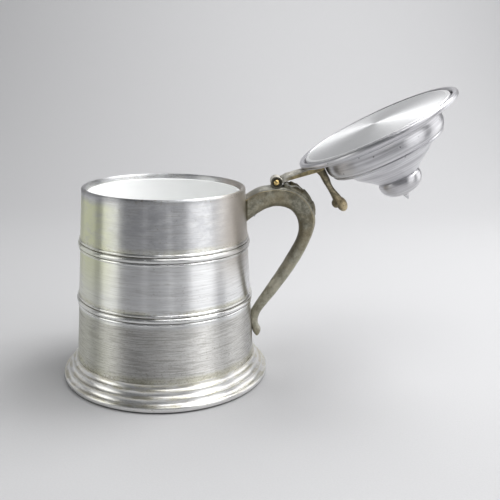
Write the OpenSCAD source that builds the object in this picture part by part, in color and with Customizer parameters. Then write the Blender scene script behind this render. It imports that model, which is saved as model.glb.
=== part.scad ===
// Tankard-shaped ice bucket with a hinged lid, a cast handle and a white liner.
// Millimetres. The origin is the centre of the foot on the table, +Z is up and
// the handle points along +X. The lid is drawn open, lying back on its stop.

/* [Body] */
// Height of the body's rolled rim above the table
rim_h = 200; // [180:1:220]
// Outer radius of the wall where it leaves the foot
wall_foot_r = 93.1; // [90:0.1:96]
// Outer radius of the wall just below the rim
wall_rim_r = 82.3; // [80:0.1:84]
// Thickness of the spun aluminium sheet
sheet = 1.4; // [1:0.1:2]
// Radius of the rolled rim's section
rim_roll_r = 2.2; // [1.8:0.1:2.4]
// Height of the lower edge of the upper band
upper_band_h = 137.8; // [120:0.1:150]
// Height of the lower edge of the lower band
lower_band_h = 80.2; // [70:0.1:100]

/* [Foot] */
// Height of the foot ring
foot_h = 23.8; // [20:0.1:28]
// Widest radius of the foot ring
foot_r = 107.9; // [105:0.1:112]
// Radius of the flat ring that stands on the table
foot_contact_r = 105.6; // [102:0.1:106]

/* [Liner] */
// Height of the liner's upper edge
liner_top_h = 195; // [190:0.5:196]
// Inner radius of the liner at its mouth
liner_mouth_r = 75.7; // [72:0.1:76]
// Height of the liner's floor inside
liner_floor_h = 30; // [28:0.5:40]
// Thickness of the liner
liner_wall = 2.2; // [1.5:0.1:3]

/* [Lid] */
// Outer radius of the lid's rim
lid_r = 85.2; // [84:0.1:87]
// Radius of the rim bead's section
lid_bead_r = 2.9; // [2.5:0.1:3.2]
// Radius of the lid's upright wall
lid_wall_r = 63.2; // [60:0.1:66]
// How far the lid opens, in degrees
open_angle = 152; // [120:1:154]

/* [Hinge and handle] */
// Distance of the hinge pin from the body's axis
hinge_x = 113.8; // [112:0.1:116]
// Height of the hinge pin above the rim
hinge_rise = 5.3; // [5:0.1:6]
// Radius of the hinge pin
pin_r = 2; // [1.5:0.1:2.2]
// Running clearance between the pin and the strap's knuckles
pin_clearance = 0.05; // [0.02:0.01:0.1]
// Width of the handle at the hinge
handle_w = 18; // [16:0.5:20]
// Width of the handle at its tail
handle_tail_w = 12; // [10:0.5:14]
// Width of the hinge strap
strap_w = 17; // [15:0.5:18]

/* [Hidden] */
$fn = 96;
eps = 0.01;

// Heights of the pieces inside the foot
shell_bottom_h = 8;
base_plate_t = 1.4;

// Triple bands: a large bead between two small ones
small_bead = [3.2, 1.2];
large_bead = [5.4, 2.2];

// The rolled rim and the collar that turns down inside it
rim_roll_x = wall_rim_r + 0.35 - rim_roll_r;
rim_roll_h = rim_h - rim_roll_r;
collar_t = 1.2;
collar_r = rim_roll_x - rim_roll_r;
collar_bottom_h = liner_top_h - 2;

// Hair gap between the wall and what is seated on it
seat_gap = 0.03;

// The liner stands off the collar, and its flange is held below the collar
liner_gap = 0.3;
liner_neck_r = collar_r - liner_gap;
liner_floor_r = liner_neck_r - 3.9;
liner_flange_t = 2;
liner_corner_r = 9;
// Bevel along both edges of the liner's lip
liner_lip = 0.7;
liner_bottom_h = liner_floor_h - liner_wall - 0.3;
fit = 0.2;

hinge_z = rim_h + hinge_rise;
knuckle_r = 6;
knuckle_gap = 0.3;
centre_knuckle_w = 7;
notch_r = knuckle_r + 0.5;
// Shallow round eyes in the strap's knuckles for the pin's heads: radius, depth
pin_eye = [4.9, 1.2];

// Screw sizes: thread radius, head radius, head height
m5 = [2.5, 4.2, 2.2];
m4 = [2, 3.4, 1.6];
m3 = [1.5, 2.75, 1.6];
handle_screw_heights = [171, 184];
lower_screw_h = 59;
screw_hole_gap = 0.1;
backing_t = 1;

// The lid's flange rises inwards, and the strap lies along it
flange_slope = 0.25;
strap_seat_gap = 0.06;
flange_start = [82.8, 2 * lid_bead_r + 0.1];
wall_fillet_r = 5;
fillet_x = lid_wall_r + wall_fillet_r;
crown_h = 56.6;
finial_base_r = 20.4;
strap_screw_x = [74, 68];

steel = "silver";
cast = "#8a857a";
aluminium = "#c4c6c8";

// ---- curves ---------------------------------------------------------------

// Points on an arc, from angle a0 to a1 in n steps
function arc(centre, r, a0, a1, n = 10) =
    [for (i = [0:n]) let (a = a0 + (a1 - a0) * i / n) centre + r * [cos(a), sin(a)]];

// A smooth curve through every point of p, with n steps between points
function blend_point(a, b, c, d, t) =
    0.5 * (2 * b + (c - a) * t + (2 * a - 5 * b + 4 * c - d) * t * t
           + (3 * b - a - 3 * c + d) * t * t * t);
function spline(p, n = 4) =
    let (last = len(p) - 1)
    [for (i = [0:last - 1], k = [0:n - 1])
        blend_point(p[max(i - 1, 0)], p[i], p[i + 1], p[min(i + 2, last)], k / n),
     p[last]];

// The same curve moved sideways by d, to the left of its direction for d > 0
function beside(p, d) =
    let (last = len(p) - 1)
    [for (i = [0:last])
        let (along = p[min(i + 1, last)] - p[max(i - 1, 0)])
        p[i] + d * [-along.y, along.x] / norm(along)];

function reversed(p) = [for (i = [len(p) - 1:-1:0]) p[i]];

// A closed outline from its right half (x, z)
function both_sides(half) = concat(half, reversed([for (p = half) [-p.x, p.y]]));

// Outer radius of the body's conical wall at height z
function wall_r(z) =
    wall_foot_r + (wall_rim_r - wall_foot_r) * (z - foot_h) / (rim_h - foot_h);
function wall_in(z) = wall_r(z) - sheet;
function liner_r(z) =
    liner_floor_r + (liner_neck_r - liner_floor_r)
        * (z - liner_bottom_h) / (liner_top_h - liner_bottom_h);

// ---- placing --------------------------------------------------------------

// Puts a piece drawn on the closed lid (z = 0 at the body's rim) where it lies open
module on_open_lid() {
    translate([hinge_x, 0, hinge_z])
        rotate([0, open_angle, 0])
            translate([-hinge_x, 0, -hinge_rise])
                children();
}

// Draws a side view (x, z) as a plate of width w, centred on y = 0
module side_plate(w) {
    translate([0, w / 2, 0]) rotate([90, 0, 0]) linear_extrude(w) children();
}

// Draws a front view (y, z) as a solid that runs through the whole handle along X
module front_plate() {
    translate([50, 0, 0]) rotate([90, 0, 90]) linear_extrude(120) children();
}

// A cylinder across the handle, centred on y = 0, at x and z
module cross_cylinder(x, z, r, w) {
    translate([x, w / 2, z]) rotate([90, 0, 0]) cylinder(h = w, r = r);
}

// A cylinder that runs outwards along +X from x, at height z
module outward_cylinder(x, z, r, len) {
    translate([x, 0, z]) rotate([0, 90, 0]) cylinder(h = len, r = r, $fn = 48);
}

// The solid cone that the body's wall encloses, made larger by grow
module wall_cone(z0, z1, grow = 0) {
    translate([0, 0, z0])
        cylinder(h = z1 - z0, r1 = wall_r(z0) + grow, r2 = wall_r(z1) + grow, $fn = 180);
}

// ---- body -----------------------------------------------------------------

// A half-round bead of height and stand-off size, rising from height z
module bead(z, size) {
    r = (size.x * size.x / 4 + size.y * size.y) / (2 * size.y);
    zc = z + size.x / 2;
    translate([wall_r(zc) + size.y - r, zc]) circle(r, $fn = 48);
}

module triple_band(z) {
    bead(z, small_bead);
    bead(z + small_bead.x, large_bead);
    bead(z + small_bead.x + large_bead.x, small_bead);
}

module body_shell_section() {
    difference() {
        union() {
            polygon([[0, shell_bottom_h], [wall_r(shell_bottom_h), shell_bottom_h],
                     [wall_r(rim_roll_h), rim_roll_h], [0, rim_roll_h]]);
            triple_band(upper_band_h);
            triple_band(lower_band_h);
        }
        polygon([[-1, shell_bottom_h - 1], [wall_in(shell_bottom_h - 1), shell_bottom_h - 1],
                 [wall_in(rim_h), rim_h], [-1, rim_h]]);
    }
    translate([rim_roll_x, rim_roll_h]) circle(rim_roll_r, $fn = 48);
    translate([collar_r, collar_bottom_h]) square([collar_t, rim_roll_h - collar_bottom_h]);
}

module body_shell() {
    color(aluminium)
    difference() {
        rotate_extrude($fn = 180) body_shell_section();
        for (z = concat(handle_screw_heights, [lower_screw_h]))
            outward_cylinder(wall_r(z) - 8, z, m5.x + screw_hole_gap, 16);
    }
}

// One hollow flare of the foot, from its upright start to its level end
function flare(start, end, n = 7) =
    [for (i = [0:n]) let (a = 90 * i / n)
        [start.x + (end.x - start.x) * (1 - cos(a)), start.y + (end.y - start.y) * sin(a)]];

module foot_ring() {
    lip_t = 1.4;
    step = 0.9;
    tier1 = [foot_r - 9.8, foot_h - 5.1];
    tier2 = [foot_r - 5.6, foot_h - 10.9];
    tier3 = [foot_r - 1.5, 7.2];
    outer = concat(
        [[wall_r(foot_h), foot_h]],
        flare([wall_r(foot_h) + lip_t, foot_h], tier1),
        flare(tier1 - [0, step], tier2),
        flare(tier2 - [0, step], tier3),
        arc([foot_r - 2.4, 4.8], 2.4, 60, -10, 6),
        [[foot_r - 0.5, 2], [foot_contact_r + 0.6, 0.4], [foot_contact_r, 0]]);
    inner = [
        [foot_contact_r - 4, 0], [foot_contact_r - 5, 3.4], [foot_contact_r - 8, 5.2],
        [wall_r(shell_bottom_h) - 3, 5.2],
        [wall_r(shell_bottom_h) - 3, shell_bottom_h - base_plate_t],
        [wall_r(shell_bottom_h), shell_bottom_h - base_plate_t],
        [wall_r(shell_bottom_h), shell_bottom_h]];
    color(aluminium)
    rotate_extrude($fn = 180) polygon(concat(outer, inner));
}

module base_plate() {
    color(aluminium)
    translate([0, 0, shell_bottom_h - base_plate_t])
        cylinder(h = base_plate_t, r = wall_r(shell_bottom_h), $fn = 180);
}

// ---- liner and insulation -------------------------------------------------

module liner() {
    inner_floor_r = liner_floor_r - liner_wall;
    outer = concat(
        [[0, liner_bottom_h]],
        arc([liner_floor_r - liner_corner_r, liner_bottom_h + liner_corner_r],
            liner_corner_r, -90, 0, 6),
        [[liner_r(collar_bottom_h - liner_flange_t), collar_bottom_h - liner_flange_t],
         [wall_in(collar_bottom_h) - 0.4, collar_bottom_h - liner_flange_t],
         [wall_in(collar_bottom_h) - 0.4, collar_bottom_h],
         [liner_neck_r, collar_bottom_h],
         [liner_neck_r, liner_top_h - liner_lip],
         [liner_neck_r - liner_lip, liner_top_h],
         [liner_mouth_r + liner_lip, liner_top_h],
         [liner_mouth_r, liner_top_h - liner_lip]]);
    inner = concat(
        reversed(arc([inner_floor_r - liner_corner_r + 2, liner_floor_h + liner_corner_r - 2],
                     liner_corner_r - 2, -90, 0, 6)),
        [[0, liner_floor_h]]);
    color("white")
    rotate_extrude($fn = 180) polygon(concat(outer, inner));
}

// Room in the insulation for the handle's plate and screws
module fixing_pocket(z0, z1, x0) {
    translate([x0, -12, z0]) cube([40, 24, z1 - z0]);
}

module insulation_sleeve() {
    top_h = collar_bottom_h - liner_flange_t - fit;
    base_h = liner_bottom_h;
    color("whitesmoke")
    difference() {
        rotate_extrude($fn = 120)
            polygon([[liner_r(base_h) + fit, base_h], [wall_in(base_h) - fit, base_h],
                     [wall_in(top_h) - fit, top_h], [liner_r(top_h) + fit, top_h]]);
        fixing_pocket(162, 195, liner_r(178) - 2);
        fixing_pocket(48, 70, liner_r(59) + 6);
    }
}

module insulation_floor() {
    low = shell_bottom_h;
    high = liner_bottom_h - 0.1;
    color("whitesmoke")
    translate([0, 0, low])
        cylinder(h = high - low, r1 = wall_in(low) - fit, r2 = wall_in(high) - fit, $fn = 120);
}

// ---- handle ---------------------------------------------------------------

// Spine of the handle, from the body's wall over the top and down to the tail
handle_outer = spline([
    [79, 187.5], [86, 193.6], [96, 199.2], [106, 201.4], [116, 202.4], [128, 200.8],
    [138, 196.2], [146.4, 188.8], [152.6, 178.5], [155.5, 165.5], [153.2, 152.5],
    [145.6, 133], [133, 110.6], [116.4, 86.4], [103.6, 69.6], [99, 61], [98.2, 52.6],
    [101.4, 44.6], [99.6, 39.4]], 4);
// Underside of the handle, from the tail back up to the wall
handle_inner = spline([
    [96.4, 37.6], [93.4, 41.6], [91.4, 48.5], [89, 58], [89.8, 65], [96.2, 76.6],
    [110.5, 99], [124.4, 121.6], [134.4, 140.4], [138.6, 156], [136.2, 168],
    [128.6, 176.8], [116.2, 180.2], [103.2, 177], [91, 168.8], [79, 158.5]], 4);

// The leaf's side view, raised on the handle's shoulder behind the hinge
leaf_outline = concat(
    spline([[121, 199.6], [121.2, 203.4], [124, 205.5], [128.4, 206.2], [133, 205],
            [138.4, 201.2], [143.6, 198], [149, 192], [153.2, 186], [155.3, 180],
            [156.1, 175.4], [155.6, 171]], 3),
    [[153, 172], [148, 182], [138, 192], [126, 196]]);

// Front view of the leaf: nearly as wide as the handle, with a narrow tail
leaf_front = [[8.6, 210], [8.6, 192], [7.6, 184], [5.4, 177], [1.6, 170]];

// The handle narrows from the hinge to its tail
module handle_front() {
    narrow_h = 46;
    wide_h = 165;
    polygon([
        [-handle_w / 2, rim_h + 12], [handle_w / 2, rim_h + 12],
        [handle_w / 2, wide_h], [handle_tail_w / 2, narrow_h], [handle_tail_w / 2, 30],
        [-handle_tail_w / 2, 30], [-handle_tail_w / 2, narrow_h], [-handle_w / 2, wide_h]]);
}

module handle() {
    screw_depth = 13;
    color(cast)
    difference() {
        union() {
            intersection() {
                side_plate(handle_w) polygon(concat(handle_outer, handle_inner));
                front_plate() handle_front();
            }
            intersection() {
                side_plate(handle_w) polygon(leaf_outline);
                front_plate() polygon(both_sides(leaf_front));
            }
            side_plate(centre_knuckle_w)
                polygon([[hinge_x - 7, 199], [hinge_x + 7, 199],
                         [hinge_x + 4, hinge_z], [hinge_x - 4, hinge_z]]);
            cross_cylinder(hinge_x, hinge_z, knuckle_r, centre_knuckle_w);
        }
        wall_cone(20, rim_h, seat_gap);
        cross_cylinder(hinge_x, hinge_z, pin_r, centre_knuckle_w + 2);
        for (side = [-1, 1])
            translate([0, side * (centre_knuckle_w + handle_w) / 2, 0])
                cross_cylinder(hinge_x, hinge_z, notch_r, handle_w);
        for (z = handle_screw_heights)
            outward_cylinder(wall_r(z) - 2, z, m5.x, screw_depth);
        outward_cylinder(wall_r(lower_screw_h) - 2, lower_screw_h, m5.x, 8);
    }
}

// A curved steel plate inside the wall that spreads the upper screws' pull
module handle_backing_plate() {
    low = handle_screw_heights[0] - 7;
    high = handle_screw_heights[1] + 6;
    color(steel)
    difference() {
        intersection() {
            wall_cone(low, high, -sheet);
            translate([60, -9, low]) cube([40, 18, high - low]);
        }
        wall_cone(low - 1, high + 1, -sheet - backing_t);
        for (z = handle_screw_heights)
            outward_cylinder(wall_r(z) - 8, z, m5.x + screw_hole_gap, 16);
    }
}

// A pan-headed screw along +X with its head's underside at x
module radial_screw(x, z, size, len) {
    outward_cylinder(x - size.z, z, size.y, size.z);
    outward_cylinder(x - eps, z, size.x - 0.02, len);
}

// The head's flat underside clears the curved plate's inner face
function plate_seat_x(z) = wall_in(z + m5.y) - backing_t - 0.25;

module handle_upper_screws() {
    color(steel)
    for (z = handle_screw_heights)
        radial_screw(plate_seat_x(z), z, m5, 12);
}

washer_r = 6;
washer_x = wall_in(lower_screw_h + washer_r) - backing_t - 0.3;

module handle_lower_washer() {
    color(steel)
    difference() {
        outward_cylinder(washer_x, lower_screw_h, washer_r, backing_t);
        outward_cylinder(washer_x - 1, lower_screw_h, m5.x + screw_hole_gap, backing_t + 2);
    }
}

module handle_lower_screw() {
    color(steel)
    radial_screw(washer_x, lower_screw_h, m5, 9);
}

// ---- hinge ----------------------------------------------------------------

// The pin's rounded heads sit in the shallow eyes of the strap's knuckles
module hinge_pin() {
    head_t = 1.8;
    seat = strap_w / 2 - pin_eye.y + 0.2;
    color("goldenrod") {
        cross_cylinder(hinge_x, hinge_z, pin_r, 2 * seat);
        for (side = [-1, 1])
            translate([hinge_x, side * seat, hinge_z])
                rotate([-side * 90, 0, 0])
                    rotate_extrude($fn = 48)
                        polygon(concat([[0, 0]], arc([0, -head_t], 2 * head_t, 30, 90, 6)));
    }
}

// Side view of the strap: a bar from the hinge to the lid's wall
strap_lower = [
    [hinge_x - 3.2, hinge_rise - 4.4], [hinge_x - 5, 2.2], [hinge_x - 8, 2], [101.2, 2],
    [96.5, 3.1],
    [90.5, flange_h(90.5) + strap_seat_gap],
    [fillet_x + 1.2, flange_h(fillet_x + 1.2) + strap_seat_gap],
    [lid_wall_r + 4.1, 9.75], [lid_wall_r + 2.8, 10.2], [lid_wall_r + 1.6, 11]];
strap_upper = spline([
    [lid_wall_r + 1.6, 15.6], [72, 15], [86, 12.3], [96, 10.3], [103, 9],
    [hinge_x - 6, 8.6], [hinge_x - 2, hinge_rise + 4]], 3);

// Height of the flange's outer face at radius r
function flange_h(r) = flange_start.y + (flange_start.x - r) * flange_slope;

module hinge_strap() {
    on_open_lid() color(cast)
    difference() {
        union() {
            side_plate(strap_w) polygon(concat(strap_lower, strap_upper));
            cross_cylinder(hinge_x, hinge_rise, knuckle_r, strap_w);
        }
        cross_cylinder(hinge_x, hinge_rise, pin_r + pin_clearance, strap_w + 2);
        translate([hinge_x - notch_r, -centre_knuckle_w / 2 - knuckle_gap, -5])
            cube([2 * notch_r, centre_knuckle_w + 2 * knuckle_gap, 20]);
        for (side = [-1, 1])
            translate([0, side * strap_w / 2, 0])
                cross_cylinder(hinge_x, hinge_rise, pin_eye.x, 2 * pin_eye.y);
        for (x = strap_screw_x)
            translate([x, 0, 0]) cylinder(h = x == strap_screw_x[0] ? 12 : 20, r = m3.x, $fn = 48);
    }
}

// Side view of the thumbpiece on the closed lid: a stem with two lobes at its top
thumb_outline = spline([
    [63.8, 14.5], [63.7, 24], [63.7, 28], [64.3, 33], [63.9, 38.5], [62, 46], [59.6, 53],
    [58.4, 59], [59.4, 63.2], [62.8, 65.4], [66.4, 64.6], [69.2, 61.6], [71.2, 58],
    [73.3, 55], [73, 51.6], [70.5, 48], [70.1, 42], [70.5, 35], [71.4, 28], [71.5, 22],
    [72.2, 17.6], [74, 14.2]], 3);

// Front view of the thumbpiece: broad at its foot, slim, and broad at its top
thumb_front = spline([
    [7, 13], [6.2, 19], [5.2, 28], [4.2, 36], [4.6, 44], [6.4, 51], [7.6, 57], [7, 62],
    [4.6, 65], [0, 65.6]], 3);

module thumbpiece() {
    on_open_lid() color(cast)
    difference() {
        intersection() {
            side_plate(strap_w) polygon(thumb_outline);
            front_plate() polygon(both_sides(thumb_front));
            // The foot rests on the strap's upper face
            side_plate(strap_w + 2) polygon(concat(
                [for (p = strap_upper) if (p.x < 90) p], [[90, 80], [50, 80], [50, 15.6]]));
        }
        translate([strap_screw_x[1], 0, 0]) cylinder(h = 24, r = m3.x, $fn = 48);
    }
}

// The plate stays clear of the sheet where it curves up into the wall
flange_clear = 0.5;

// A plate under the flange, tilted as the flange is
module under_flange(x, drop) {
    translate([x, 0, flange_h(x) - sheet - drop])
        rotate([0, atan(flange_slope), 0])
            children();
}

module strap_backing_plate() {
    middle = (strap_screw_x[0] + strap_screw_x[1]) / 2 + 0.3;
    color(steel)
    on_open_lid()
    difference() {
        under_flange(middle, flange_clear)
            translate([-5.6, -6, -backing_t]) cube([11.2, 12, backing_t]);
        for (x = strap_screw_x)
            translate([x, 0, -2]) cylinder(h = 14, r = m3.x + screw_hole_gap, $fn = 48);
    }
}

// Height of a strap screw's flat head, just below the tilted plate's lowest edge under it
function strap_head_h(x) =
    flange_h(x) - sheet - flange_clear - 1.03 * backing_t - flange_slope * m3.y - 0.05;

module strap_screws() {
    tops = [11.8, 23.6];
    color(steel)
    on_open_lid()
    for (i = [0, 1]) {
        x = strap_screw_x[i];
        translate([x, 0, strap_head_h(x)]) {
            translate([0, 0, -m3.z]) cylinder(h = m3.z, r = m3.y, $fn = 48);
            translate([0, 0, -eps])
                cylinder(h = tops[i] - strap_head_h(x), r = m3.x - 0.02, $fn = 48);
        }
    }
}

// ---- lid ------------------------------------------------------------------

// The lid's outer face from the rim bead up to the neck under the finial
lid_flange = [flange_start, [fillet_x + 1.2, flange_h(fillet_x + 1.2)]];
lid_outer = concat(
    lid_flange,
    arc([fillet_x, flange_h(fillet_x) + wall_fillet_r - 0.2], wall_fillet_r, -100, -180, 6),
    spline([[lid_wall_r + 0.1, 19], [lid_wall_r - 0.2, 22], [lid_wall_r - 1.1, 25],
            [lid_wall_r - 2.6, 27.4], [lid_wall_r - 3.8, 28]], 3),
    spline([[lid_wall_r - 3.3, 28.7], [lid_wall_r - 3.8, 30.1], [lid_wall_r - 5.8, 31.4],
            [54, 32.5], [50, 34.1], [46.4, 35.9], [43.6, 38], [41.8, 40.1], [39.7, 42.4],
            [36, 45.4], [31, 49.2], [26.6, 53], [23.4, 55.7], [21.2, crown_h]], 3));

module lid_shell() {
    inner = [for (p = beside(lid_outer, sheet)) [p.x, min(p.y, crown_h - sheet)]];
    color(aluminium)
    on_open_lid()
    difference() {
        rotate_extrude($fn = 180) {
            translate([lid_r - lid_bead_r, lid_bead_r]) circle(lid_bead_r, $fn = 48);
            polygon(concat(
                [[lid_r - lid_bead_r, flange_start.y - 0.1]], lid_outer, [[0, crown_h]],
                [[0, crown_h - sheet]], reversed(inner),
                [[lid_r - lid_bead_r, flange_start.y - sheet]]));
        }
        translate([0, 0, crown_h - 4]) cylinder(h = 6, r = m4.x + screw_hole_gap, $fn = 48);
        for (x = strap_screw_x)
            translate([x, 0, -1]) cylinder(h = 14, r = m3.x + screw_hole_gap, $fn = 48);
    }
}

// The domed plate that closes the lid from below, with its edge turned up
module lid_inner_plate() {
    plate_r = lid_r - 2 * lid_bead_r - 2;
    plate_t = 1.2;
    edge_h = 0.3;
    // The edge stops below the heads of the strap's screws
    edge_top_h = 2.6;
    dip = 2.4;
    sphere_r = (plate_r * plate_r + dip * dip) / (2 * dip);
    half_angle = asin(plate_r / sphere_r);
    dome_h = edge_h - dip;
    face = arc([0, dome_h + sphere_r], sphere_r, -90, -90 + half_angle * 0.985, 14);
    back = arc([0, dome_h + sphere_r], sphere_r - plate_t, -90 + half_angle * 0.97, -90, 14);
    color(aluminium)
    on_open_lid()
    rotate_extrude($fn = 180)
        polygon(concat(
            face, [[plate_r - 0.3, edge_h + 0.3], [plate_r, edge_h + 0.9], [plate_r, edge_top_h],
                   [plate_r - plate_t, edge_top_h]], back));
}

module lid_insulation() {
    puck_r = lid_wall_r - sheet - 0.4;
    low = 2.8;
    shoulder_h = 17;
    high = 23.3;
    color("whitesmoke")
    on_open_lid()
    rotate_extrude($fn = 120)
        polygon([[0, low], [puck_r, low], [puck_r, shoulder_h], [puck_r - 5, high], [0, high]]);
}

// A hollow turned knob
module finial() {
    wall = 1.6;
    outer = spline([[finial_base_r, crown_h], [21.5, 57.9], [22.3, 60], [22.5, 62.4],
                    [22.1, 65.4], [21, 68.2], [19.2, 70.7], [16.8, 72.8], [13.4, 74.6],
                    [9.2, 75.9], [4.4, 76.6]], 3);
    inner = beside(outer, wall);
    color(aluminium)
    on_open_lid()
    difference() {
        rotate_extrude($fn = 120)
            polygon(concat(outer, [[0, 76.8], [0, 76.8 - wall]],
                           reversed([for (p = inner) [p.x, max(p.y, crown_h)]])));
        translate([0, 0, 70]) cylinder(h = 10, r = m4.x + screw_hole_gap, $fn = 48);
    }
}

// The small pointed nut at the very top
module finial_tip() {
    base_h = 76.8;
    color(aluminium)
    on_open_lid()
    difference() {
        rotate_extrude($fn = 48)
            polygon([[0, base_h], [3.9, base_h], [3.7, base_h + 1.4], [2.3, base_h + 4.2],
                     [0.4, base_h + 7.5], [0, base_h + 7.6]]);
        translate([0, 0, base_h - 1]) cylinder(h = 3.8, r = m4.x, $fn = 48);
    }
}

// The bolt from inside the lid that clamps the finial between crown and tip
module finial_bolt() {
    seat_h = crown_h - sheet - backing_t - 0.1;
    color(steel)
    on_open_lid() {
        translate([0, 0, seat_h - m4.z]) cylinder(h = m4.z, r = m4.y, $fn = 48);
        translate([0, 0, seat_h - eps])
            cylinder(h = 79.4 - seat_h, r = m4.x - 0.02, $fn = 48);
    }
}

module finial_washer() {
    seat_h = crown_h - sheet - backing_t - 0.05;
    color(steel)
    on_open_lid()
    difference() {
        translate([0, 0, seat_h]) cylinder(h = backing_t, r = washer_r, $fn = 48);
        translate([0, 0, seat_h - 1])
            cylinder(h = backing_t + 2, r = m4.x + screw_hole_gap, $fn = 48);
    }
}

body_shell();
foot_ring();
base_plate();
liner();
insulation_sleeve();
insulation_floor();
handle();
handle_backing_plate();
handle_upper_screws();
handle_lower_washer();
handle_lower_screw();
hinge_pin();
hinge_strap();
thumbpiece();
strap_backing_plate();
strap_screws();
lid_shell();
lid_insulation();
lid_inner_plate();
finial();
finial_tip();
finial_bolt();
finial_washer();
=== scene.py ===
"""A tankard-shaped ice bucket with its lid lying open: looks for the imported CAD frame."""
import math

import bmesh
import bpy
import numpy as np
from mathutils import Matrix, Vector, noise


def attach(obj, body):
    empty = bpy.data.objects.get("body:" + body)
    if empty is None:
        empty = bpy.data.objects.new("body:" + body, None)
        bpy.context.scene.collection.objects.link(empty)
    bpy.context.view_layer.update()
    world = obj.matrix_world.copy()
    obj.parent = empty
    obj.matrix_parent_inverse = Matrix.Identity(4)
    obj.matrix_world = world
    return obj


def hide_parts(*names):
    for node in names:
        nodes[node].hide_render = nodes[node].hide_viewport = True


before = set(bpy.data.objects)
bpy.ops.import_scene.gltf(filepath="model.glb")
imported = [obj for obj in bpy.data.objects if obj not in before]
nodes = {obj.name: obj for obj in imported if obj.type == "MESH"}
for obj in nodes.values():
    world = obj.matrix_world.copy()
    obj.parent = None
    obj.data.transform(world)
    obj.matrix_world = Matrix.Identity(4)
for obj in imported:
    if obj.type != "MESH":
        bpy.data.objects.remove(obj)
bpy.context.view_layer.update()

MM = 0.001

# ---- main sizes, millimetres; beads are (height, stand-off) ------------------

RIM_H = 200.0
FOOT_H = 23.8
FOOT_R = 107.9
CONTACT_R = 105.6
WALL_FOOT_R = 93.1
WALL_RIM_R = 82.3
SHEET = 1.4
SHELL_BOTTOM_H = 8.0
RIM_ROLL_R = 2.2
COLLAR_BOTTOM_H = 193.0
LOWER_BAND_H = 80.2
UPPER_BAND_H = 137.8
SMALL_BEAD = (3.2, 1.2)
LARGE_BEAD = (5.4, 2.2)
BAND_H = 2 * SMALL_BEAD[0] + LARGE_BEAD[0]

LINER_TOP_H = 195.0
LINER_NECK_R = 77.95
LINER_MOUTH_R = 75.7
LINER_FLOOR_H = 30.0

HINGE_X = 113.8
HINGE_RISE = 5.3
OPEN_ANGLE = 152.0
KNUCKLE_R = 6.0
NOTCH_R = KNUCKLE_R + 0.5
EYE_R = 4.9
EYE_DEPTH = 1.2
PIN_R = 2.0
STRAP_W = 17.0
CENTRE_KNUCKLE_W = 7.0

LID_R = 85.2
LID_BEAD_R = 2.9
PLATE_R = LID_R - 2 * LID_BEAD_R - 2
LID_WALL_R = 63.2
FLANGE_START = (82.8, 5.9)
FLANGE_SLOPE = 0.25
FILLET_R = 5.0
CROWN_H = 56.6

HANDLE_W = 18.0
HANDLE_TAIL_W = 12.0

# Where the closed lid's own frame (z = 0 at the body's rim) lies when open
OPEN_LID = (
    Matrix.Translation((HINGE_X * MM, 0, (RIM_H + HINGE_RISE) * MM))
    @ Matrix.Rotation(math.radians(OPEN_ANGLE), 4, "Y")
    @ Matrix.Translation((-HINGE_X * MM, 0, -HINGE_RISE * MM))
)


# ---- curves and profiles ----------------------------------------------------

def spline(points, steps=6):
    """A smooth curve through every point."""
    p = [np.array(q, float) for q in points]
    last = len(p) - 1
    out = []
    for i in range(last):
        a, b, c, d = p[max(i - 1, 0)], p[i], p[i + 1], p[min(i + 2, last)]
        for k in range(steps):
            t = k / steps
            out.append(0.5 * (2 * b + (c - a) * t + (2 * a - 5 * b + 4 * c - d) * t * t
                              + (3 * b - a - 3 * c + d) * t ** 3))
    out.append(p[-1])
    return [tuple(q) for q in out]


def arc(centre, radius, start, end, steps=12):
    """Points on a circle's arc between two angles in degrees."""
    out = []
    for i in range(steps + 1):
        a = math.radians(start + (end - start) * i / steps)
        out.append((centre[0] + radius * math.cos(a), centre[1] + radius * math.sin(a)))
    return out


def height_at(points, x):
    """Height of a line of points, in rising order of x, at x."""
    return np.interp(x, [p[0] for p in points], [p[1] for p in points])


def wall_r(z):
    """Outer radius of the body's conical wall."""
    return WALL_FOOT_R + (WALL_RIM_R - WALL_FOOT_R) * (z - FOOT_H) / (RIM_H - FOOT_H)


def offset(points, distance):
    """The line moved sideways, to the left of its direction for distance > 0."""
    p = np.array(points, float)
    along = np.gradient(p, axis=0)
    along /= np.linalg.norm(along, axis=1)[:, None]
    return [tuple(q) for q in p + distance * np.stack([-along[:, 1], along[:, 0]], axis=1)]


# ---- meshes -----------------------------------------------------------------

def place(name, data):
    """A new object in the scene."""
    obj = bpy.data.objects.new(name, data)
    bpy.context.scene.collection.objects.link(obj)
    return obj


def finish_mesh(obj, sharp_angle=32):
    """Merges doubles, turns the faces outwards and shades smooth up to an angle."""
    bm = bmesh.new()
    bm.from_mesh(obj.data)
    bmesh.ops.remove_doubles(bm, verts=bm.verts, dist=1e-7)
    bmesh.ops.recalc_face_normals(bm, faces=bm.faces)
    bm.to_mesh(obj.data)
    bm.free()
    obj.data.shade_smooth()
    obj.data.set_sharp_from_angle(angle=math.radians(sharp_angle))


def new_object(name, vertices, faces, matrix=None, sharp_angle=32):
    """A mesh object from millimetre vertices, moved by matrix into the row's frame."""
    mesh = bpy.data.meshes.new(name)
    mesh.from_pydata([tuple(c * MM for c in v) for v in vertices], [], faces)
    if matrix is not None:
        mesh.transform(matrix)
    obj = place(name, mesh)
    finish_mesh(obj, sharp_angle)
    return obj


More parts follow.
